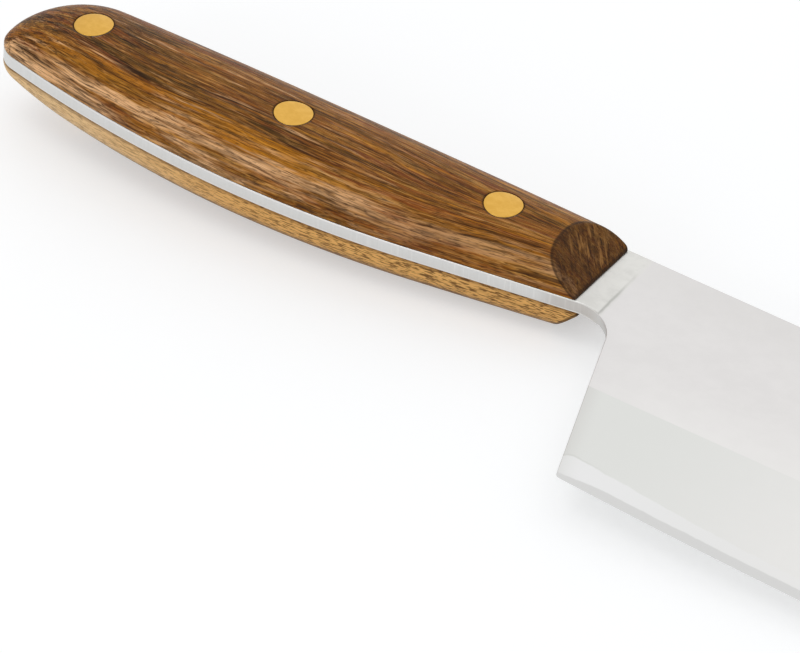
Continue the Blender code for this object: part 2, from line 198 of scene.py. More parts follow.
# The wood's figure behind the swell: where it changes, and over what length
REAR_FIGURE_FROM = -72.0
REAR_FIGURE_LENGTH = 44.0

# Floor and room: colours are linear, the glow and the strengths are those of their shaders
WHITE = (1.0, 1.0, 1.0, 1.0)
FLOOR_COLOR = (0.64, 0.65, 0.66)
FLOOR_GLOW = 0.445
FLOOR_HALF_SIZE = 6.0
FLOOR_HEIGHT = -0.00005
ROOM_STRENGTH = 0.66
ROOM_STRENGTH_SEEN = 1.0

# Softboxes: direction in the camera's right, up and backward, then distance, size and power
SOFTBOXES = {
    "back_softbox": ((0.3, 0.93, -0.22), 1.6, 2.2, 5.8),
    "high_softbox": ((-0.4, 0.76, 0.5), 1.6, 0.8, 2.4),
    "side_softbox": ((-0.67, -0.17, 0.72), 1.4, 0.8, 3.4),
    "front_softbox": ((-0.2, -0.88, 0.45), 1.6, 1.0, 3.8),
}

# Camera in the knife's coordinates: where it stands, and its right and upward directions
CAMERA_LENS = 1200.0
CAMERA_SENSOR = 36.0
CAMERA_CLIP = (0.1, 50.0)
CAMERA_PLACE = Vector((1746.45, -2902.43, 2747.33))
CAMERA_RIGHT = Vector((0.832942, 0.551916, 0.039958))
CAMERA_UP = Vector((-0.375342, 0.510447, 0.773668))

knife_turn = RESTING_DOWN.rotation_difference(Vector((0.0, 0.0, -1.0))).to_matrix()
knife_place = Matrix.Scale(METRES, 4) @ Matrix.Translation(RESTING_PLACE) @ knife_turn.to_4x4()


def edge_line(x):
    """Height of the cutting edge: a shallow arc, drawn as a parabola."""
    return -EDGE_DROP + (x - EDGE_LOWEST_AT) ** 2 / (2.0 * EDGE_RADIUS)


def towards_butt(x):
    """Zero from the swell forward, then growing to one at the butt."""
    return np.maximum(0.0, -(x + SWELL_AT) / (HANDLE_LENGTH - SWELL_AT))


def towards_front(x):
    """Zero from the butt to the swell, then growing to one at the handle's front end."""
    return np.maximum(0.0, (x + SWELL_AT) / SWELL_AT)


def belly_line(x):
    """Lower outline of the handle: a parabola behind the swell, an arc in front of it, and
    then the straight line that leaves the arc at its steepest slope."""
    straight_from = BELLY_FRONT_RADIUS * math.sin(math.atan(BELLY_FRONT_RISE))
    offset = np.maximum(0.0, x + SWELL_AT)
    bent = np.minimum(offset, straight_from)
    arc = BELLY_FRONT_RADIUS - np.sqrt(BELLY_FRONT_RADIUS ** 2 - bent ** 2)
    behind = (SWELL_DEPTH - BUTT_DEPTH) * towards_butt(x) ** 2
    return -SWELL_DEPTH + arc + (offset - bent) * BELLY_FRONT_RISE + behind


def end_rounding(inside):
    """Quarter of an ellipse: zero where the distance inside is zero, and one where it is one."""
    return 1.0 - np.sqrt(1.0 - np.clip(inside, 0.0, 1.0) ** 2)


def butt_rounding(x, length):
    """The quarter ellipse, laid over the last stretch of the handle."""
    return end_rounding((length - HANDLE_LENGTH - x) / length)


def handle_top(x):
    """Upper outline of the handle: the spine, rounded down to the nose of the butt."""
    return (BUTT_NOSE_RISE - BUTT_DEPTH) * butt_rounding(x, BUTT_SPINE_ROUNDING)


def handle_bottom(x):
    """Lower outline of the handle: the belly, rounded up to the nose of the butt."""
    return belly_line(x) + BUTT_NOSE_RISE * butt_rounding(x, BUTT_BELLY_ROUNDING)


def crown_height(x):
    """Height of a scale over its seat: two parabolas that meet at the swell, times the
    rounding of the butt."""
    behind = (BUTT_CROWN - SWELL_CROWN) * towards_butt(x) ** 2
    ahead = (FRONT_CROWN - SWELL_CROWN) * towards_front(x) ** 2
    return (SWELL_CROWN + behind + ahead) * (1.0 - butt_rounding(x, BUTT_CROWN_ROUNDING))


def section_fullness(x, across):
    """Exponent of the superellipse across a scale. With the square of the distance past the
    swell it falls on the spine's side of the middle, and grows on the belly's."""
    swell = np.where(across > 0.0, SPINE_SIDE_FULLNESS, BELLY_SIDE_FULLNESS)
    front = np.where(across > 0.0, FRONT_SPINE_SIDE_FULLNESS, FRONT_BELLY_SIDE_FULLNESS)
    return swell + (front - swell) * towards_front(x) ** 2


def scale_top(x, y):
    """Height of the finished wood over a place: a superellipse across the handle."""
    middle = (handle_top(x) + handle_bottom(x)) / 2.0
    across = (y - middle) / ((handle_top(x) - handle_bottom(x)) / 2.0)
    fullness = section_fullness(x, across)
    rise = np.clip(1.0 - np.abs(across) ** fullness, 0.0, 1.0) ** (1.0 / fullness)
    return SCALE_BASE + crown_height(x) * rise


def smooth_step(value, low, high):
    """Zero below low and one above high, with a soft cubic run between them."""
    share = np.clip((value - low) / (high - low), 0.0, 1.0)
    return share * share * (3.0 - 2.0 * share)


def rounded_corner(before, corner, after, radius, steps):
    """Arc that touches both sides of a corner: the arm from its centre turns evenly from one
    side's touching point to the other's."""
    corner = np.asarray(corner, float)
    back = (before - corner) / np.linalg.norm(before - corner)
    ahead = (after - corner) / np.linalg.norm(after - corner)
    half = math.acos(float(back @ ahead)) / 2.0
    bisector = (back + ahead) / np.linalg.norm(back + ahead)
    centre = corner + bisector * radius / math.sin(half)
    start = corner + back * radius / math.tan(half) - centre
    end = corner + ahead * radius / math.tan(half) - centre
    turn = math.pi - 2.0 * half
    share = np.linspace(0.0, 1.0, steps + 1)[:, None]
    arms = np.sin((1.0 - share) * turn) * start + np.sin(share * turn) * end
    return centre + arms / math.sin(turn)


def heel_points():
    """The sharp corner that the choil rounds, and the one where the heel meets the edge, which
    a few rounds of guessing again bring onto the edge's line."""
    turn = math.pi / 2.0 - HEEL_SLANT + math.atan(BELLY_FRONT_RISE)
    forward = np.array((1.0, BELLY_FRONT_RISE)) / math.hypot(1.0, BELLY_FRONT_RISE)
    start = np.array((CHOIL_AT, float(belly_line(CHOIL_AT))))
    choil = start + forward * CHOIL_RADIUS * math.tan(turn / 2.0)
    x = choil[0]
    for _ in range(HEEL_ROUNDS):
        x = choil[0] + (choil[1] - edge_line(x)) * math.tan(HEEL_SLANT)
    return choil, np.array((x, edge_line(x)))


def front_points():
    """The two sharp corners at the blade's front end, and where the shinogi meets it."""
    foot_x = BLADE_REACH - EDGE_DROP * math.tan(FRONT_SLANT)
    tip_x = BLADE_REACH - SHINOGI_DROP * math.tan(FRONT_SLANT)
    return (np.array((BLADE_REACH, 0.0)), np.array((foot_x, edge_line(foot_x))),
            np.array((tip_x, -SHINOGI_DROP)))


def run(start, end, steps):
    """Even places from start to end."""
    return np.linspace(start, end, steps + 1)


def paired(x, y):
    """Rows of (x, y)."""
    return np.stack([x, np.broadcast_to(y, np.shape(x))], axis=-1)


def upper_path():
    """Outline of the steel from the butt's nose along the spine to the front end's middle."""
    front_top, front_foot, front_middle = front_points()
    turns = run(0.0, math.pi / 2.0, BUTT_SPINE_STEPS)
    butt = -HANDLE_LENGTH + BUTT_SPINE_ROUNDING * (1.0 - np.cos(turns))
    spine_start = paired(butt, handle_top(butt))
    front = rounded_corner(np.array((0.0, 0.0)), front_top, front_foot, FRONT_SPINE_RADIUS,
                           FRONT_SPINE_STEPS)
    return np.concatenate([spine_start, front, front_middle[None]])


def lower_path():
    """Outline of the steel from the butt's nose along the belly, the choil, the heel and the
    edge to the front end's middle."""
    front_top, front_foot, front_middle = front_points()
    choil, heel = heel_points()
    turns = run(0.0, math.pi / 2.0, BUTT_BELLY_STEPS)
    butt = -HANDLE_LENGTH + BUTT_BELLY_ROUNDING * (1.0 - np.cos(turns))
    handle = np.concatenate([butt, run(butt[-1], CHOIL_AT, BELLY_STEPS)[1:]])
    belly = paired(handle, handle_bottom(handle))
    choil_arc = rounded_corner(belly[-1], choil, heel, CHOIL_RADIUS, CHOIL_STEPS)
    onward = heel + np.array((1.0, EDGE_HEEL_SLOPE))
    heel_arc = rounded_corner(choil, heel, onward, HEEL_CORNER_RADIUS, CORNER_STEPS)
    along_edge = run(heel_arc[-1][0], front_foot[0] - FRONT_EDGE_RADIUS, EDGE_STEPS)
    edge = paired(along_edge, edge_line(along_edge))
    front_arc = rounded_corner(edge[-1], front_foot, front_top, FRONT_EDGE_RADIUS, CORNER_STEPS)
    return np.concatenate([belly[:-1], choil_arc, heel_arc, edge[1:-1], front_arc,
                           front_middle[None]])


def along(path, places):
    """Points of a path at the given distances along it, from zero to one."""
    length = np.concatenate([[0.0], np.cumsum(np.linalg.norm(np.diff(path, axis=0), axis=1))])
    return np.stack([np.interp(places * length[-1], length, path[:, k]) for k in (0, 1)], axis=-1)


def inward(path):
    """Unit vectors square to a path that runs along X, on its right-hand side."""
    step = np.gradient(path, axis=0)
    normal = np.stack([step[:, 1], -step[:, 0]], axis=-1)
    return normal / np.maximum(np.linalg.norm(normal, axis=1), TINY)[:, None]


def band_width(x):
    """Width of the band over the bevel: widest near the heel, narrowing with the square of the
    distance to the front, and nearly closed at the heel by a quarter of an ellipse."""
    heel_x = heel_points()[1][0]
    share = (BLADE_REACH - x) / (BLADE_REACH - heel_x)
    width = BAND_FRONT_WIDTH + (BAND_HEEL_WIDTH - BAND_FRONT_WIDTH) * share ** 2
    closing = end_rounding((heel_x + BAND_ROUNDING - x) / BAND_ROUNDING)
    return width * (1.0 - BAND_CLOSING * closing)


def main_face(x, y):
    """Half the thickness of the steel on its main face: a plane that falls to the front and
    to the shinogi."""
    fall = FRONT_TAPER * (x - PLUNGE_AT) / (BLADE_REACH - PLUNGE_AT)
    return STOCK_THICKNESS / 2.0 - PLUNGE_DEPTH - fall + SHINOGI_TAPER * y / SHINOGI_DROP


def steel_half(x, y):
    """Half the thickness of the steel at a place. The flat stock steps down softly to the main
    face at the plunge, a step that fades towards the spine. Under the shinogi straight runs
    join the heights of the shinogi, the band's top, the bevel's top and the edge."""
    plunge = PLUNGE_AT - PLUNGE_LEAN * y
    ground = smooth_step(x, plunge, plunge + PLUNGE_WIDTH)
    fade = 1.0 - PLUNGE_FADE * smooth_step(y, -PLUNGE_FADE_TO, -PLUNGE_FADE_FROM)
    step = PLUNGE_DEPTH * fade
    face = main_face(x, np.maximum(y, -SHINOGI_DROP)) + PLUNGE_DEPTH - step
    upper = STOCK_THICKNESS / 2.0 + (face - STOCK_THICKNESS / 2.0) * ground
    edge = edge_line(x)
    width = band_width(x)
    knots = (-SHINOGI_DROP, edge + BEVEL_HEIGHT + width, edge + BEVEL_HEIGHT, edge)
    heights = (main_face(x, -SHINOGI_DROP), BEVEL_THICKNESS / 2.0 + width * math.tan(BAND_ANGLE),
               BEVEL_THICKNESS / 2.0, EDGE_THICKNESS / 2.0)
    lower = upper
    for high, low, high_half, low_half in zip(knots, knots[1:], heights, heights[1:]):
        share = np.clip((high - y) / np.maximum(high - low, TINY), 0.0, 1.0)
        lower = np.where(y < high, high_half + (low_half - high_half) * share, lower)
    return lower


def grid_faces(columns, rows, closed):
    """Quads between neighbouring points of a grid whose points are counted row by row in each
    column; closed joins the last row to the first."""
    across = rows if closed else rows - 1
    i, j = np.meshgrid(np.arange(columns - 1), np.arange(across), indexing="ij")
    near = i * rows + j
    next_row = i * rows + (j + 1) % rows
    return np.stack([near, next_row, next_row + rows, near + rows], axis=-1).reshape(-1, 4)


def mesh_of(name, points, crease_angle, closed=False, crease_rows=()):
    """Mesh of a grid of points: doubles merged, open ends filled, faces pointing outwards, and
    sharp edges along the given rows and wherever the surface turns by more than the angle."""
    columns, rows = points.shape[:2]
    mesh = bpy.data.meshes.new(name)
    mesh.from_pydata(points.reshape(-1, 3), [], grid_faces(columns, rows, closed).tolist())
    work = bmesh.new()
    work.from_mesh(mesh)
    work.verts.ensure_lookup_table()
    row_of = work.verts.layers.int.new("row")
    for vertex, row in zip(work.verts, np.tile(np.arange(rows), columns).tolist()):
        vertex[row_of] = row
    bmesh.ops.remove_doubles(work, verts=work.verts, dist=MERGE_DISTANCE)
    bmesh.ops.dissolve_degenerate(work, edges=work.edges, dist=SLIVER_LENGTH)
    rim = [edge for edge in work.edges if edge.is_boundary]
    if rim:
        bmesh.ops.edgeloop_fill(work, edges=rim)
    bmesh.ops.recalc_face_normals(work, faces=work.faces)
    limit = math.radians(crease_angle)
    for edge in work.edges:
        first, second = (vertex[row_of] for vertex in edge.verts)
        on_row = first == second and first in crease_rows
        turns = len(edge.link_faces) == 2 and edge.calc_face_angle(0.0) > limit
        edge.smooth = not (on_row or turns)
    for face in work.faces:
        face.smooth = True
    work.verts.layers.int.remove(row_of)
    work.to_mesh(mesh)
    work.free()
    return mesh


def steel_points():
    """Grid of the steel. Each column is the loop round one cut across the knife: the right
    face from the upper outline to the lower one, the eased rim, and the left face back. The
    face's rows follow the shinogi, the band's top and the bevel's top."""
    upper, lower = upper_path(), lower_path()
    turns = run(0.0, math.pi / 2.0, STEEL_BUTT_COLUMNS)
    stretches = [-HANDLE_LENGTH + STEEL_BUTT * (1.0 - np.cos(turns))]
    for end, columns in STEEL_STRETCHES:
        stretches.append(run(stretches[-1][-1], end, columns)[1:])
    stations = np.concatenate(stretches)
    from_x = stations[-1]
    upper_front = np.concatenate([[[from_x, 0.0]], upper[upper[:, 0] > from_x]])
    lower_front = np.concatenate([[[from_x, edge_line(from_x)]],
                                  lower[lower[:, 0] > from_x]])
    ends = run(0.0, 1.0, STEEL_FRONT_COLUMNS)[1:]
    top = np.concatenate([paired(stations, np.interp(stations, upper[:, 0], upper[:, 1])),
                          along(upper_front, ends)])
    bottom = np.concatenate([paired(stations, np.interp(stations, lower[:, 0], lower[:, 1])),
                             along(lower_front, ends)])
    top_in, bottom_in = inward(top), -inward(bottom)
    for end in (0, -1):
        shared = top_in[end] + bottom_in[end]
        top_in[end] = bottom_in[end] = shared / np.linalg.norm(shared)

    def easing(outline, towards):
        """Rows of the eased edge, from the face to the rim, with their heights."""
        half = steel_half(outline[:, 0], outline[:, 1])
        radius = np.minimum(EASED_EDGE, EASED_EDGE_LIMIT * half)
        face_points = outline + towards * radius[:, None]
        face_half = steel_half(face_points[:, 0], face_points[:, 1])
        for turn in run(0.0, math.pi / 2.0, EASED_ROWS):
            spot = outline + towards * (radius * (1.0 - math.sin(turn)))[:, None]
            yield np.column_stack([spot, face_half - radius * (1.0 - math.cos(turn))])

    top_rows = list(easing(top, top_in))
    bottom_rows = list(easing(bottom, bottom_in))
    start, end = top_rows[0][:, :2], bottom_rows[0][:, :2]
    drop = np.maximum(start[:, 1] - end[:, 1], TINY)
    edge = edge_line(end[:, 0])
    marks = [np.full_like(edge, -SHINOGI_DROP), edge + BEVEL_HEIGHT + band_width(end[:, 0]),
             edge + BEVEL_HEIGHT]
    shares = [np.zeros_like(edge)]
    shares += [np.clip((start[:, 1] - mark) / drop, 0.0, 1.0) for mark in marks]
    shares += [np.ones_like(edge)]
    face_rows = []
    creases = []
    for low, high, steps in zip(shares, shares[1:], FACE_ROWS):
        for step in range(steps):
            share = low + (high - low) * step / steps
            spot = start + (end - start) * share[:, None]
            face_rows.append(np.column_stack([spot, steel_half(spot[:, 0], spot[:, 1])]))
        creases.append(len(face_rows))
    right = top_rows[::-1] + face_rows[1:] + bottom_rows
    left = [row * np.array((1.0, 1.0, -1.0)) for row in right[::-1]]
    offset = len(top_rows) - 1
    crease_rows = [offset + row for row in creases[:3]]
    crease_rows += [2 * len(right) - 1 - row for row in crease_rows]
    return np.stack(right + left, axis=1), crease_rows


def facet_x(height):
    """How far forward a scale reaches at a height over its seat: a plane at 45 degrees, which
    an arc turns upright at its foot."""
    low = FACET_FOOT_RADIUS * math.sqrt(0.5)
    centre = FACET_FOOT_AT - FACET_FOOT_RADIUS
    arc = centre + np.sqrt(FACET_FOOT_RADIUS ** 2 - np.clip(height, 0.0, low) ** 2)
    return np.where(height < low, arc, centre + 2.0 * low - height)


def scale_points(side, forward):
    """Grid of a scale's outside. Each row runs from the butt along the wood, over the eased
    rim of the front facet and down the facet to its foot. The first and the last rows stand
    on the upright lips beside the tang, and the rows between them cross the superellipse."""
    lift = SCALE_BASE - SCALE_SEAT
    lip = np.array(SCALE_LIP_ROWS) * lift
    turns = run(0.0, math.pi, SCALE_ROWS)
    turns -= SCALE_CROWDING * np.sin(2.0 * turns) / 2.0
    turns = np.concatenate([np.zeros_like(lip), turns, np.full_like(lip, math.pi)])
    across = np.cos(turns)
    on_crown = (turns > 0.0) & (turns < math.pi)
    base = np.full_like(turns, lift)
    base[:lip.size] = lip
    base[-lip.size:] = lip[::-1]

    def section(x):
        """Share of the half width, and height over the seat, of each row of the section at x."""
        fullness = section_fullness(x, across)
        rise = np.where(on_crown, np.abs(np.sin(turns)) ** (2.0 / fullness), 0.0)
        share = np.copysign(np.abs(across) ** (2.0 / fullness), across)
        return share, base + crown_height(x) * rise

    rim = np.zeros_like(turns)
    for _ in range(FACET_ROUNDS):
        rim = facet_x(section(rim)[1]) + forward
    rim_share, rim_height = section(rim)
    easing = np.minimum(FACET_EASING, FACET_EASING_LIMIT * rim_height)
    butt_turns = run(0.0, math.pi / 2.0, SCALE_BUTT_COLUMNS)
    butt = -HANDLE_LENGTH + SCALE_BUTT * (1.0 - np.cos(butt_turns))
    straight = np.concatenate([butt, run(butt[-1], FACET_BEND_FROM, SCALE_COLUMNS)[1:]])
    places = [np.full_like(rim, x) for x in straight]
    places += [FACET_BEND_FROM + (rim - easing - FACET_BEND_FROM) * step
               for step in run(0.0, 1.0, FACET_BEND_COLUMNS)[1:]]
    columns = [(x, *section(x)) for x in places]
    before_x, _, before_height = columns[-1]
    after_height = rim_height - easing * math.sqrt(0.5)
    after_x = facet_x(after_height) + forward
    for bend in run(0.0, 1.0, FACET_RIM_COLUMNS)[1:]:
        ways = ((1.0 - bend) ** 2, 2.0 * bend * (1.0 - bend), bend ** 2)
        columns.append((ways[0] * before_x + ways[1] * rim + ways[2] * after_x, rim_share,
                        ways[0] * before_height + ways[1] * rim_height + ways[2] * after_height))
    for down in run(0.0, 1.0, FACET_COLUMNS)[1:]:
        height = after_height * (1.0 - down) ** FACET_CROWDING
        columns.append((facet_x(height) + forward, rim_share, height))

    points = []
    for x, share, height in columns:
        corner = end_rounding((x - forward + FACET_CORNER_RADIUS) / FACET_CORNER_RADIUS)
        top = handle_top(x) - FACET_CORNER_RADIUS * FACET_CORNER_DROP * corner
        bottom = handle_bottom(x)
        lip_pull = SCALE_LIP * end_rounding(1.0 - height / SCALE_LIP)
        fade = np.clip((x + HANDLE_LENGTH) / SCALE_LIP_FADE, 0.0, 1.0)
        lip_pull *= np.abs(share) ** SCALE_LIP_POWER * fade
        y = (top + bottom) / 2.0 + (top - bottom) / 2.0 * share - np.copysign(lip_pull, share)
        points.append(np.column_stack([x, y, side * (SCALE_SEAT + height)]))
    return np.stack(points)


def turned(profile):
    """Grid of a turned form: a profile of (radius, height) carried round the Z axis."""
    profile = np.asarray(profile, float)
    angle = run(0.0, math.tau, TURNING_STEPS)
    return np.stack([np.column_stack([profile[:, 0] * math.cos(a), profile[:, 0] * math.sin(a),
                                      profile[:, 1]]) for a in angle])


def rivet_centre(x):
    """Where a rivet stands: its lift over the middle of the handle."""
    lift = RIVET_LIFTS[RIVET_PLACES.index(x)]
    return x, (float(handle_top(x)) + float(handle_bottom(x))) / 2.0 + lift


def head_seat():
    """Height of the rivet heads' seats over the middle of the steel."""
    return SCALE_BASE + float(min(crown_height(x) for x in RIVET_PLACES)) - RIVET_HEAD_DEPTH


def rivet_points(x, side, has_pin):
    """Grid of a rivet half: its profile turned about its axis, with the head's top laid on
    the finished wood and its rim eased. The left half is the right one turned over."""
    seat = head_seat()
    centre_x, centre_y = rivet_centre(x)
    radii = list(run(0.0, RIVET_HEAD_RADIUS - RIVET_RIM, HEAD_STEPS))
    sinks = [0.0] * len(radii)
    for turn in run(0.0, math.pi / 2.0, HEAD_RIM_STEPS)[1:]:
        radii.append(RIVET_HEAD_RADIUS - RIVET_RIM * (1.0 - math.sin(turn)))
        sinks.append(RIVET_RIM * (1.0 - math.cos(turn)))
    grid = turned([(radius, 0.0) for radius in radii])
    grid[:, :, 0] += centre_x
    grid[:, :, 1] += centre_y
    grid[:, :, 2] = scale_top(grid[:, :, 0], grid[:, :, 1]) - np.array(sinks)
    if has_pin:
        pin_end = RIVET_BORE_FLOOR - seat + RIVET_GAP
        stem = [(RIVET_HEAD_RADIUS, seat), (RIVET_PIN_RADIUS, seat),
                (RIVET_PIN_RADIUS, pin_end), (0.0, pin_end)]
    else:
        tube_end, bore_end = RIVET_GAP - seat, seat - RIVET_BORE_FLOOR
        stem = [(RIVET_HEAD_RADIUS, seat), (RIVET_SHANK_RADIUS, seat),
                (RIVET_SHANK_RADIUS, tube_end), (RIVET_BORE_RADIUS, tube_end),
                (RIVET_BORE_RADIUS, bore_end), (0.0, bore_end)]
    lower = turned(stem)
    lower[:, :, 0] += centre_x
    lower[:, :, 1] += centre_y
    grid = np.concatenate([grid, lower], axis=1)
    grid[:, :, 2] *= side
    return grid


def hole_points(x):
    """Grid of the stepped hole for a rivet, which runs through both scales and the tang."""
    seat = head_seat() - RIVET_FIT
    outside = SWELL_CROWN + HOLE_REACH
    wide = RIVET_HEAD_RADIUS + RIVET_FIT
    narrow = RIVET_SHANK_RADIUS + RIVET_FIT
    centre_x, centre_y = rivet_centre(x)
    grid = turned([(0.0, -outside), (wide, -outside), (wide, -seat), (narrow, -seat),
                   (narrow, seat), (wide, seat), (wide, outside), (0.0, outside)])
    grid[:, :, 0] += centre_x
    grid[:, :, 1] += centre_y
    return grid


def placed(name, mesh):
    """Object of a mesh, linked into the scene."""
    item = bpy.data.objects.new(name, mesh)
    bpy.context.scene.collection.objects.link(item)
    return item


def bored(name, mesh):
    """The mesh with the rivet holes cut out of it."""
    item = placed(name, mesh)
    cutters = []
    for number, x in enumerate(RIVET_PLACES):
        hole = f"rivet_hole_{number}"
        cutter = placed(hole, mesh_of(hole, hole_points(x), HOLE_CREASE))
        cutters.append(cutter)
        cut = item.modifiers.new(hole, "BOOLEAN")
        cut.operation = "DIFFERENCE"
        cut.solver = "EXACT"
        cut.object = cutter
    graph = bpy.context.evaluated_depsgraph_get()
    result = bpy.data.meshes.new_from_object(item.evaluated_get(graph))
    for used in [item] + cutters:
        bpy.data.objects.remove(used, do_unlink=True)
    return result


def finished(name, mesh, material, node):
    """Lay a mesh down with the knife, give it its finish and let it stand for its node."""
    mesh.transform(knife_place)
    mesh.materials.clear()
    mesh.materials.append(material)
    item = placed(name, mesh)
    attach(item, "root")
    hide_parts(node)


class Socket:
    """An output of a shader node, on which Python's operators add Math nodes."""

    def __init__(self, finish, output):
        self.finish = finish
        self.output = output

    def math(self, operation, first, second=0.0):
        """A Math node with a socket or a number at each of its first two places."""
        return self.finish.add("ShaderNodeMath", {"operation": operation}, {0: first, 1: second})

    def __add__(self, other):
        return self.math("ADD", self, other)

    __radd__ = __add__

    def __mul__(self, other):
        return self.math("MULTIPLY", self, other)

    def __sub__(self, other):
        return self.math("SUBTRACT", self, other)

    def __rsub__(self, other):
        return self.math("SUBTRACT", other, self)

    def __truediv__(self, other):
        return self.math("DIVIDE", self, other)

    def __abs__(self):
        return self.math("ABSOLUTE", self)

    def __pow__(self, other):
        return self.math("POWER", self, other)

    def least(self, other):
        """The smaller of two values."""
        return self.math("MINIMUM", self, other)

    def most(self, other):
        """The larger of two values."""
        return self.math("MAXIMUM", self, other)

    def step(self, low, high):
        """Zero at low and one at high, with a soft run between them."""
        return self.finish.add("ShaderNodeMapRange", {"interpolation_type": "SMOOTHSTEP"},
                               {"Value": self, "From Min": low, "From Max": high})

    def between(self, low, high, soft):
        """One between two values and zero outside them, with soft ends."""
        return self.step(low - soft, low + soft) * (1.0 - self.step(high - soft, high + soft))


class Finish:
    """A material under construction."""

    def __init__(self, name):
        self.material = bpy.data.materials.new(name)
        self.material.use_nodes = True
        self.tree = self.material.node_tree
        self.tree.nodes.clear()

    def add(self, kind, settings=None, inputs=None, output=0):
        """Add a node: its settings first, then the values or links of its sockets."""
        node = self.tree.nodes.new(kind)
        for name, value in (settings or {}).items():
            if name == "stops":
                for extra in value[2:]:
                    node.color_ramp.elements.new(extra[0])
                for stop, (place, color) in zip(node.color_ramp.elements, value):
                    stop.position = place
                    stop.color = (*color, 1.0)
            else:
                setattr(node, name, value)
        for name, value in (inputs or {}).items():
            if isinstance(value, Socket):
                self.tree.links.new(value.output, node.inputs[name])
            else:
                node.inputs[name].default_value = value
        return Socket(self, node.outputs[output])

    def coordinates(self):
        """X, Y and Z of a place in the knife's own coordinates, in millimetres."""
        back = knife_turn.transposed()
        where = self.add("ShaderNodeTexCoord", output="Object")
        place = self.add("ShaderNodeMapping", {"vector_type": "POINT"},
                         {"Vector": where, "Location": -(back @ RESTING_PLACE),
                          "Rotation": back.to_euler(), "Scale": (1.0 / METRES,) * 3})
        split = self.add("ShaderNodeSeparateXYZ", inputs={0: place})
        return [Socket(self, part) for part in split.output.node.outputs]

    def vector(self, x, y, z):
        """A vector of three numbers."""
        return self.add("ShaderNodeCombineXYZ", inputs={0: x, 1: y, 2: z})

    def distance(self, vector, other):
        """How far apart two places are."""
        return self.add("ShaderNodeVectorMath", {"operation": "DISTANCE"},
                        {0: vector, 1: other}, 1)

    def noise(self, vector, detail, roughness=0.5):
        """Soft noise between zero and one, mostly near a half."""
        return self.add("ShaderNodeTexNoise", inputs={
            "Vector": vector, "Scale": 1.0, "Detail": detail, "Roughness": roughness})

    def mix(self, share, first, second):
        """Mix of two colours."""
        return self.add("ShaderNodeMix", {"data_type": "RGBA"},
                        {"Factor": share, 6: first, 7: second}, 2)

    def painted(self, color, *coats):
        """A colour under further coats, each given by its share and its screen colour."""
        for share, tint in coats:
            color = self.mix(share, color, opaque(*tint))
        return color

    def ramp(self, value, stops):
        """Colour from a value."""
        return self.add("ShaderNodeValToRGB", {"stops": stops}, {0: value})

    def bump(self, height, strength, distance):
        """Normal that follows a height."""
        return self.add("ShaderNodeBump", inputs={"Height": height, "Strength": strength,
                                                  "Distance": distance * METRES})

    def surface(self, **inputs):
        """The shader and the material's output."""
        names = {name.replace("_", " "): value for name, value in inputs.items()}
        return self.close(self.add("ShaderNodeBsdfPrincipled", inputs=names))

    def close(self, shader):
        """Link the shader to the material's output."""
        end = self.tree.nodes.new("ShaderNodeOutputMaterial")
        self.tree.links.new(shader.output, end.inputs["Surface"])
        return self.material


def opaque(red, green, blue):
    """A colour given as it looks on the screen, from 0 to 255, for a colour socket."""
    return (*linear(red, green, blue), 1.0)


def linear(red, green, blue):
    """A colour given as it looks on the screen, from 0 to 255, as linear numbers: the screen's
    curve is straight near black and a power above it."""
    parts = np.array((red, green, blue)) / 255.0
    curve = ((parts + 0.055) / 1.055) ** 2.4
    return tuple(np.where(parts < 0.04045, parts / 12.92, curve).tolist())


def over_belly(x, y):
    """Height of a place over the handle's lower outline, and how far that outline has risen
    there in front of the swell."""
    ahead = (x + SWELL_AT).most(0.0)
    bent = ahead.least(BELLY_FRONT_RADIUS * math.sin(math.atan(BELLY_FRONT_RISE)))
    rise = bent * bent / (2.0 * BELLY_FRONT_RADIUS) + (ahead - bent) * BELLY_FRONT_RISE
    behind = ((x + SWELL_AT) / (SWELL_AT - HANDLE_LENGTH)).most(0.0)
    return y + SWELL_DEPTH - rise - behind * behind * (SWELL_DEPTH - BUTT_DEPTH), rise


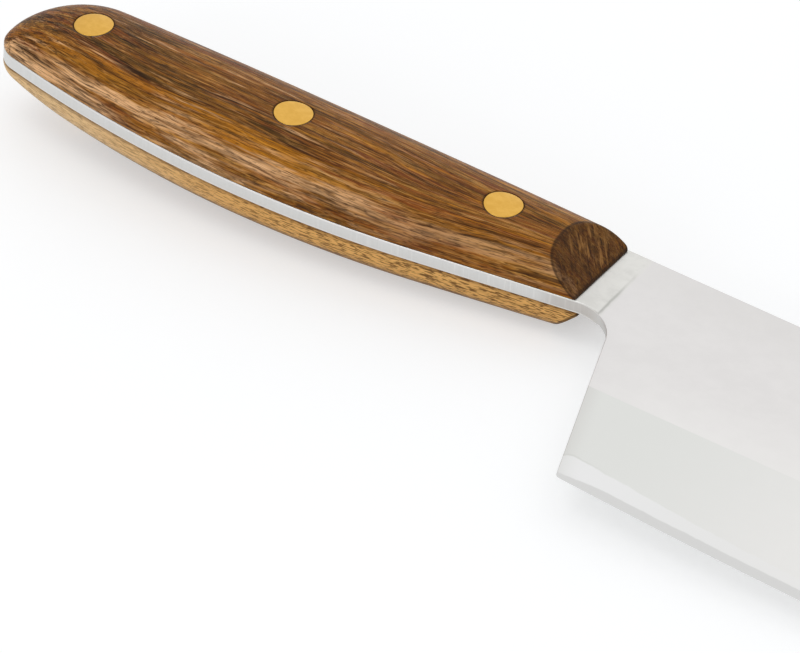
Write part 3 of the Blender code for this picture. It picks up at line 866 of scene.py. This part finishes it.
def ironwood(name, seed, light, forward):
    """Ironwood: layers square to Y in umber, brown and gold, drawn out along the handle, with
    fine fibres and short dark pores. Near the belly the layers follow its rise; towards the
    butt they bend down, and their contrast grows. A light scale is pale and flecked near the
    belly, where its side shows under the tang."""
    finish = Finish(name)
    x, y, z = finish.coordinates()
    depth = abs(z)
    wave = finish.noise(finish.vector(x / 48.0 + seed, y / 20.0, depth / 20.0), 1.0) - 0.5
    ripple = finish.noise(finish.vector(x / 7.0 + seed, y / 3.0, depth / 5.0), 2.0) - 0.5
    rear = ((x - REAR_FIGURE_FROM) / -REAR_FIGURE_LENGTH).most(0.0)
    tail = rear.least(1.0)
    from_edge, rise = over_belly(x, y)
    bend = rear * rear * (1.0 - y.step(-12.0, 0.0)) * -5.0
    bend = bend - rise * (1.0 - from_edge.step(3.0, 9.0))
    layer = y + wave * 3.0 + ripple * 0.5 + x * 0.012 + bend

    def drawn_out(length, width, thick, detail, rough, shift=0.0):
        """Noise in streaks of the given length and width."""
        return finish.noise(finish.vector(x / length + seed + shift, layer / width + shift,
                                          depth / thick), detail, rough)

    def lines(length, width, thick, shift):
        """Thin lines along the handle: where such a noise passes its middle value."""
        from_middle = abs(drawn_out(length, width, thick, 2.0, 0.5, shift) - 0.5)
        return 1.0 - from_middle.step(0.0, 0.045)

    # Tone: darker under the middle and at the butt, lighter on top and in front, painted sheen by
    # the belly
    broad = drawn_out(34.0, 2.2, 3.6, 2.0, 0.55)
    streak = drawn_out(16.0, 0.5, 0.9, 3.0, 0.6, 3.1)
    fibre = drawn_out(5.5, 0.18, 0.3, 3.0, 0.7, 7.7)
    toward_blade = x.step(-54.0, -28.0)
    from_belly = from_edge + rear * 1.1
    shade = from_belly.between(6.9, 9.5, 1.2) * 0.10 + rear.least(0.8) * 0.13
    # Painted sheen along the belly, fading out towards the blade
    shine = from_belly.between(0.4, 2.8, 0.9) * (0.12 - toward_blade * 0.12)
    shine = shine + from_belly.step(9.0, 11.0) * 0.06
    shine = shine + x.step(-50.0, -10.0) * 0.06
    tone = ((broad - 0.5) * 0.9 + (streak - 0.5) * 1.3) * (tail * 0.7 + 1.0)
    tone = tone + (fibre - 0.5) * (1.1 - tail * 0.5) + 0.53 + light + shine - shade

    # Colour: rust, olive and gold layers, a pale painted sheen by the belly, lines and pores
    hue = drawn_out(20.0, 1.2, 2.4, 2.0, 0.5, 35.0)
    gold = drawn_out(22.0, 1.5, 3.0, 3.0, 0.6, 12.3)
    gold = gold + from_belly.between(2.4, 5.2, 1.2) * (0.20 - toward_blade * 0.18)
    # Painted sheen: pale streaks along the belly, fewer towards the blade
    painted_sheen = drawn_out(16.0, 0.8, 1.8, 3.0, 0.6, 16.9) + from_belly.between(0.4, 2.0, 0.8) * 0.27
    painted_sheen = painted_sheen.step(0.54, 0.78) * streak.step(0.24, 0.56) * (1.0 - toward_blade * 0.55)
    pore = finish.noise(finish.vector(x / 1.6, layer / 0.12, depth / 0.16), 1.0, 0.4)
    pore = pore.step(0.56, 0.70)
    wood = finish.painted(
        finish.ramp(tone, [(place, linear(*tint)) for place, tint in WOOD_TONES]),
        (hue.step(0.50, 0.66) * 0.45, (146, 74, 30)),
        ((1.0 - hue).step(0.52, 0.68) * 0.4, (98, 74, 20)),
        (gold.step(0.55, 0.72) * (0.15 + streak * 0.9) * (1.0 - tail * 0.75), (198, 126, 14)),
        (painted_sheen, (240, 188, 136)),
        (lines(24.0, 1.0, 2.0, 21.0) * (0.25 + broad * 0.5), (44, 27, 13)),
        (lines(14.0, 0.45, 0.9, 27.0) * (tail * 0.4 + 0.5), (50, 29, 12)),
        (lines(11.0, 0.4, 0.8, 31.0) * 0.35, (204, 146, 80)),
        (pore * 0.6, (40, 24, 10)))

    # The light scale near the belly: pale, with dark flecks and painted shade towards both its
    # edges
    belly_side = (1.0 - from_edge.step(2.0, 4.5)) * (light * 2.4)
    pale = finish.mix(x.step(-100.0, -55.0), opaque(244, 206, 152), opaque(242, 186, 110))
    fleck = finish.noise(finish.vector(x / 1.5, layer / 0.8, depth / 0.22), 2.0, 0.5)
    fleck = fleck.step(0.46, 0.62) * (0.4 + x.step(-85.0, -35.0) * 0.4)
    # Painted shade by the seat against the tang and where the side turns under
    edges = 1.0 - depth.between(SCALE_SEAT + 0.35, SCALE_SEAT + 4.1, 0.6)
    wood = finish.painted(
        finish.mix(belly_side * (streak * 0.7 + fibre * 0.5 + 0.3), wood, pale),
        (belly_side * fleck, (78, 42, 16)),
        (belly_side * edges * 0.65, (84, 50, 24)))

    wood = with_facet(finish, wood, x, y, depth, seed, forward)
    shape = fibre * 0.6 + pore * -0.8 + streak * 0.3
    return finish.surface(Base_Color=wood, Roughness=0.36 + fibre * 0.16 + pore * 0.15,
                          Specular_IOR_Level=0.10, Sheen_Weight=0.25, Sheen_Roughness=0.2,
                          Normal=finish.bump(shape, 0.4, 0.05))


def with_facet(finish, wood, x, y, depth, seed, forward):
    """The wood with the dark end grain of its front facet, which has pale rings, open pores, a
    dark line along its crest and painted shade along its foot, and with a stain round each rivet."""
    front = x + depth - SCALE_BASE - forward
    facet = front.step(-0.45, -0.15)
    cut = finish.noise(finish.vector((y - depth) / 0.9, (y + depth) / 5.0, seed), 4.0, 0.65)
    rings = facet * cut.step(0.50, 0.66) * y.between(-11.0, -3.0, 2.0)
    # Painted shade at the facet's foot, in the corner against the tang
    foot = (SCALE_SEAT + 0.75 - depth).step(0.0, 0.3) * facet
    flat = finish.vector(x, y, 0.0)
    rivets = [finish.distance(flat, (*rivet_centre(spot), 0.0)) for spot in RIVET_PLACES]
    nearest = rivets[0].least(rivets[1]).least(rivets[2])
    stain = 1.0 - nearest.step(RIVET_HEAD_RADIUS + 0.05, RIVET_HEAD_RADIUS + 0.5)
    return finish.painted(
        wood,
        (facet * 0.6, (60, 38, 24)),
        (rings * 0.85, (160, 114, 62)),
        (facet * (1.0 - cut).step(0.52, 0.64) * 0.6, (40, 24, 15)),
        (front.between(-0.65, -0.2, 0.2) * 0.75, (30, 18, 11)),
        (foot * 0.6, (34, 20, 14)),
        (stain * 0.6, (46, 27, 15)))


def satin_steel(name):
    """Stainless steel with a satin finish: fine lines across the blade and a little unevenness.
    Painted reflection makes the blade paler in front, darker under the shinogi and on the bevel,
    and brighter on the band over the bevel. The bevel is also rougher and the ricasso duller, and
    the tang's rim shows upright grinding lines."""
    finish = Finish(name)
    x, y, z = finish.coordinates()
    lines = finish.noise(finish.vector(x / 0.09, y / 14.0, z / 3.0), 2.0, 0.6)
    cloud = finish.noise(finish.vector(x / 22.0, y / 14.0, z / 5.0), 3.0, 0.55)
    uneven = finish.noise(finish.vector(x / 2.4, y / 2.4, z / 2.4), 3.0, 0.6) - 0.5
    blotch = finish.noise(finish.vector(x / 4.0, y / 3.0, z / 3.0), 4.0, 0.65)

    # Painted reflection: faces darker near the spine, paler in front, darker below the shinogi
    # near the heel
    heel_x = float(heel_points()[1][0])
    from_heel = x - heel_x + (y + EDGE_DROP) * math.tan(HEEL_SLANT)
    under_shinogi = 1.0 - y.step(-SHINOGI_DROP - 0.15, -SHINOGI_DROP + 0.15)
    color = finish.painted(
        finish.mix(blotch.step(0.3, 0.7), opaque(222, 220, 219), opaque(225, 223, 222)),
        (y.step(-14.0, 1.0) * 0.4, (214, 212, 210)),
        ((1.0 - y.step(-36.0, -18.0)) * x.step(5.0, 30.0) * 0.5, (236, 235, 233)),
        (x.step(30.0, 80.0) * 0.3, (236, 235, 233)),
        (under_shinogi * (1.0 - x.step(25.0, 70.0) * 0.8), (221, 222, 219)),
        (under_shinogi * (1.0 - from_heel.step(0.0, 5.0)) * 0.8, (208, 207, 204)))

    # The band, closed at the heel by a quarter ellipse, painted shade along its top near the heel,
    # and the bevel, lower at the heel
    over_edge = y + EDGE_DROP - (x - EDGE_LOWEST_AT) ** 2.0 / (2.0 * EDGE_RADIUS)
    share = (BLADE_REACH - x) / (BLADE_REACH - heel_x)
    inside = (1.0 - (from_heel - 0.4) / BAND_ROUNDING).most(0.0).least(1.0)
    closing = (1.0 - inside * inside) ** 0.5
    width = (share * share * (BAND_HEEL_WIDTH - BAND_FRONT_WIDTH) + BAND_FRONT_WIDTH) * closing
    over_band = over_edge - width + uneven * 0.8
    band = 1.0 - over_band.step(BEVEL_HEIGHT - 0.2, BEVEL_HEIGHT + 0.2)
    band = band * (1.0 - x.step(22.0, 80.0) * 0.75)
    band_top_shade = over_band.between(BEVEL_HEIGHT + 0.1, BEVEL_HEIGHT + 0.3, 0.25)
    bevel_top = (from_heel / 10.0).most(0.0).least(1.0) * (BEVEL_HEIGHT * 0.6)
    bevel_top = bevel_top + BEVEL_HEIGHT * 0.4
    bevel = 1.0 - (over_edge - bevel_top + uneven * 0.4).step(-0.15, 0.1)
    # Painted reflection: the band brighter and the bevel darker; painted shade along the band's
    # top
    color = finish.painted(
        color,
        (band * (from_heel.step(0.2, 6.0) * 0.6 + 0.4), (231, 231, 231)),
        (band_top_shade * (1.0 - from_heel.step(4.0, 12.0)) * 0.5, (196, 196, 192)),
        (bevel, (219, 219, 218)))

    # Ricasso, and the painted shadow line of the plunge's step in front of it
    plunge = x + y * PLUNGE_LEAN - PLUNGE_AT + uneven * 0.3
    ricasso = (1.0 - plunge.step(0.0, 1.2)) * y.step(-20.0, -17.5)
    dull = finish.mix(blotch.step(0.35, 0.65), opaque(213, 212, 208), opaque(223, 222, 218))
    plunge_shadow = plunge.between(0.1, 0.5, 0.2) * (1.0 - y.step(-11.0, -6.5) * 0.75)
    plunge_shadow = plunge_shadow * y.step(-17.0, -15.5) * (1.0 - y.step(-6.0, -3.0))
    color = finish.painted(finish.mix(ricasso, color, dull), (plunge_shadow * 0.5, (160, 161, 155)))

    # Rim of the tang, with a shadow where the choil starts
    half = STOCK_THICKNESS / 2.0 - PLUNGE_DEPTH + y * (SHINOGI_TAPER / SHINOGI_DROP)
    rim = (half - abs(z)).step(0.03, 0.1) * (1.0 - x.step(8.0, 12.0))
    grind = finish.noise(finish.vector(x / 0.5, y / 3.0, z / 9.0), 2.0, 0.6)
    rim_color = finish.painted(
        finish.mix(grind, opaque(207, 207, 205), opaque(219, 219, 218)),
        (grind.step(0.55, 0.7) * x.step(-45.0, -20.0) * 0.5, (236, 235, 233)),
        (x.between(-5.0, 4.0, 2.0) * 0.5, (176, 168, 160)))
    return finish.surface(Base_Color=finish.mix(rim, color, rim_color), Metallic=1.0,
                          Roughness=0.28 + lines * 0.08 + cloud * 0.05 + bevel * 0.15,
                          Normal=finish.bump(lines, 0.05, 0.01))


def brass(name):
    """Brass, sanded flush with the wood: fine scratches and a slightly uneven tone."""
    finish = Finish(name)
    x, y, z = finish.coordinates()
    scratch = finish.noise(finish.vector((x + y) / 2.2, (y - x) / 0.07, z), 2.0, 0.6)
    cloud = finish.noise(finish.vector(x / 1.4, y / 1.1, z), 3.0, 0.6)
    color = finish.mix(cloud.step(0.35, 0.7), opaque(219, 170, 78), opaque(228, 180, 88))
    return finish.surface(Base_Color=color, Metallic=1.0, Roughness=0.30 + scratch * 0.14,
                          Normal=finish.bump(scratch * 0.7 + cloud * 0.3, 0.12, 0.01))


def pale_floor(name):
    """White floor: it keeps the knife's shadow and adds a little of its own light where the
    camera or a reflection sees it, so that it is white where no shadow falls."""
    finish = Finish(name)
    rays = finish.add("ShaderNodeLightPath", output="Is Camera Ray")
    glossy = Socket(finish, rays.output.node.outputs["Is Glossy Ray"])
    through = Socket(finish, rays.output.node.outputs["Is Transmission Ray"])
    seen = (rays + glossy + through).least(1.0)
    matt = finish.add("ShaderNodeBsdfDiffuse", inputs={"Color": (*FLOOR_COLOR, 1.0)})
    glow = finish.add("ShaderNodeEmission", inputs={"Color": WHITE,
                                                    "Strength": seen * FLOOR_GLOW})
    return finish.close(finish.add("ShaderNodeAddShader", inputs={0: matt, 1: glow}))


def make_camera():
    """Long lens in front of the knife, at the photo's viewing angle; its axes in the world."""
    data = bpy.data.cameras.new("camera")
    data.sensor_width = CAMERA_SENSOR
    data.lens = CAMERA_LENS
    data.clip_start, data.clip_end = CAMERA_CLIP
    camera = placed("camera", data)
    right = CAMERA_RIGHT.normalized()
    back = right.cross(CAMERA_UP).normalized()
    axes = knife_turn @ Matrix((right, back.cross(right), back)).transposed()
    camera.matrix_world = Matrix.Translation(knife_place @ CAMERA_PLACE) @ axes.to_4x4()
    bpy.context.scene.camera = camera
    return axes


def softbox(name, axes, direction, distance, size, power):
    """Square area lamp that looks at the knife from a direction given in the camera's right,
    up and backward."""
    lamp = bpy.data.lights.new(name, "AREA")
    lamp.shape = "SQUARE"
    lamp.size = size
    lamp.energy = power
    away = (axes @ Vector(direction)).normalized()
    item = placed(name, lamp)
    item.location = away * distance
    item.rotation_mode = "QUATERNION"
    item.rotation_quaternion = away.to_track_quat("Z", "Y")


def make_light(axes):
    """A pale room that looks white to the camera, and four softboxes: a large one behind the
    knife, one high behind it, one at the camera's left and one low in front."""
    world = bpy.data.worlds.new("pale_room")
    world.use_nodes = True
    tree = world.node_tree
    tree.nodes.clear()
    rays = tree.nodes.new("ShaderNodeLightPath")
    strength = tree.nodes.new("ShaderNodeMapRange")
    strength.inputs["To Min"].default_value = ROOM_STRENGTH
    strength.inputs["To Max"].default_value = ROOM_STRENGTH_SEEN
    room = tree.nodes.new("ShaderNodeBackground")
    room.inputs["Color"].default_value = WHITE
    end = tree.nodes.new("ShaderNodeOutputWorld")
    tree.links.new(rays.outputs["Is Camera Ray"], strength.inputs["Value"])
    tree.links.new(strength.outputs[0], room.inputs["Strength"])
    tree.links.new(room.outputs[0], end.inputs["Surface"])
    bpy.context.scene.world = world
    for name, (direction, distance, size, power) in SOFTBOXES.items():
        softbox(name, axes, direction, distance, size, power)


def make_floor():
    """The floor, a square a hair under the knife."""
    mesh = bpy.data.meshes.new("floor")
    corners = [(x * FLOOR_HALF_SIZE, y * FLOOR_HALF_SIZE, FLOOR_HEIGHT)
               for x, y in ((-1.0, -1.0), (1.0, -1.0), (1.0, 1.0), (-1.0, 1.0))]
    mesh.from_pydata(corners, [], [(0, 1, 2, 3)])
    mesh.materials.append(pale_floor("white_floor"))
    placed("floor", mesh)


def make_knife():
    """All pieces of the knife."""
    steel = satin_steel("satin_steel_finish")
    metal = brass("sanded_brass")
    points, creases = steel_points()
    blade = bored("steel", mesh_of("steel", points, STEEL_CREASE, True, creases))
    finished("blade_and_tang_ground", blade, steel, "blade_and_tang")
    for name, side, seed, light, forward in SCALES:
        wood = ironwood(f"ironwood_{name}", seed, light, forward)
        mesh = bored(name, mesh_of(name, scale_points(side, forward), WOOD_CREASE))
        finished(f"scale_{name}_polished", mesh, wood, f"scale_{name}")
    for place, x in zip(("front", "middle", "rear"), RIVET_PLACES):
        for kind, side in (("pin", 1.0), ("tube", -1.0)):
            rivet = f"rivet_{place}_{kind}"
            mesh = mesh_of(rivet, rivet_points(x, side, kind == "pin"), RIVET_CREASE)
            finished(f"{rivet}_sanded", mesh, metal, f"{rivet}_half")


make_knife()
make_floor()
make_light(make_camera())
bpy.context.scene.view_settings.view_transform = "Standard"
